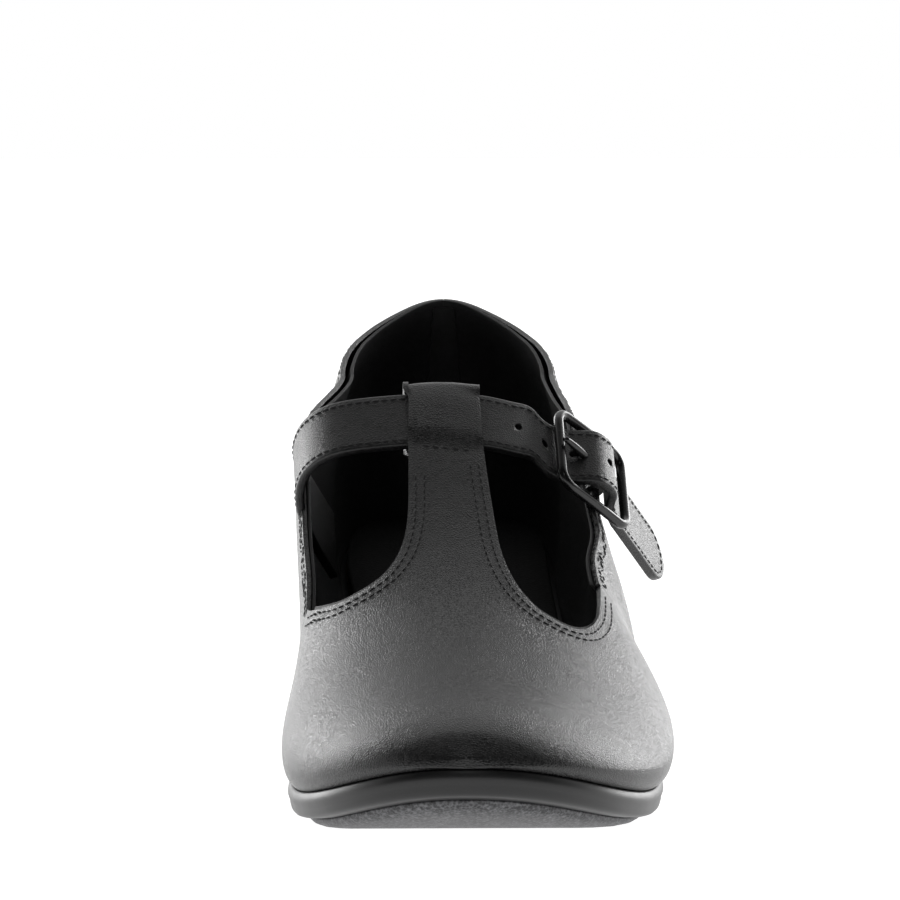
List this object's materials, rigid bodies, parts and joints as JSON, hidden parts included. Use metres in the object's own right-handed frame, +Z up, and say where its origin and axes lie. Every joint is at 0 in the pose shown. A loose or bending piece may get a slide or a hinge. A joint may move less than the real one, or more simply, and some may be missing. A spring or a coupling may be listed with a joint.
{
  "type": "tap shoe",
  "caption": "Left T-strap tap shoe with a block heel, a buckled ankle strap through the T-strap's loop, open side cut-outs and tap plates under toe and heel.",
  "frame": {"origin": "centre of the heel tap's lower face, on the floor", "axes": "+Z up, +Y towards the heel, +X towards the outer (lateral) side; the toe points to -Y"},
  "size_m": [0.0936, 0.25, 0.1066],
  "materials": {
    "board": "brown insole board",
    "buckle_metal": "glossy black enamelled metal",
    "footbed": "padded black leather sock",
    "heel_cover": "black covered heel",
    "lining_leather": "matte black lining leather",
    "sole_black": "satin black sole unit",
    "steel": "bright steel screws, nails and shank",
    "tap_metal": "matte sand-cast dark grey tap",
    "upper_leather": "fine-grained black leather, semi-gloss"
  },
  "bodies": {
    "shoe": {"outsole": "sole_black", "insole_board": "board", "footbed": "footbed", "shank": "steel", "toe_tap": "tap_metal", "toe_tap_screws": "steel", "heel_block": "heel_cover", "heel_tap": "tap_metal", "heel_tap_screws": "steel", "heel_nails": "steel", "vamp": "upper_leather", "toe_puff": "board", "vamp_lining": "lining_leather", "t_strap_loop": "upper_leather", "medial_quarter": "upper_leather", "lateral_quarter": "upper_leather", "medial_quarter_lining": "lining_leather", "lateral_quarter_lining": "lining_leather", "heel_counter": "board", "back_tape": "lining_leather", "ankle_strap": "upper_leather", "strap_lining": "lining_leather", "buckle_chape": "upper_leather"},
    "buckle": {"buckle_frame": "buckle_metal"},
    "prong": {"buckle_prong": "buckle_metal"},
    "strap_end": {"strap_tail": "upper_leather"}
  },
  "joints": [
    {"name": "buckle_rock", "type": "hinge", "parent": "shoe", "child": "buckle", "pos_m": [0.0335, -0.0912, 0.07463], "axis": [-0.04, 0.6967, 0.7163], "range_deg": [-3, 3]},
    {"name": "prong_lift", "type": "hinge", "parent": "buckle", "child": "prong", "pos_m": [0.0335, -0.0912, 0.07463], "axis": [-0.04, 0.6967, 0.7163], "range_deg": [0, 18]},
    {"name": "strap_end_lift", "type": "hinge", "parent": "shoe", "child": "strap_end", "pos_m": [0.03885, -0.08232, 0.06629], "axis": [0.04, -0.6967, -0.7163], "range_deg": [0, 50]}
  ]
}
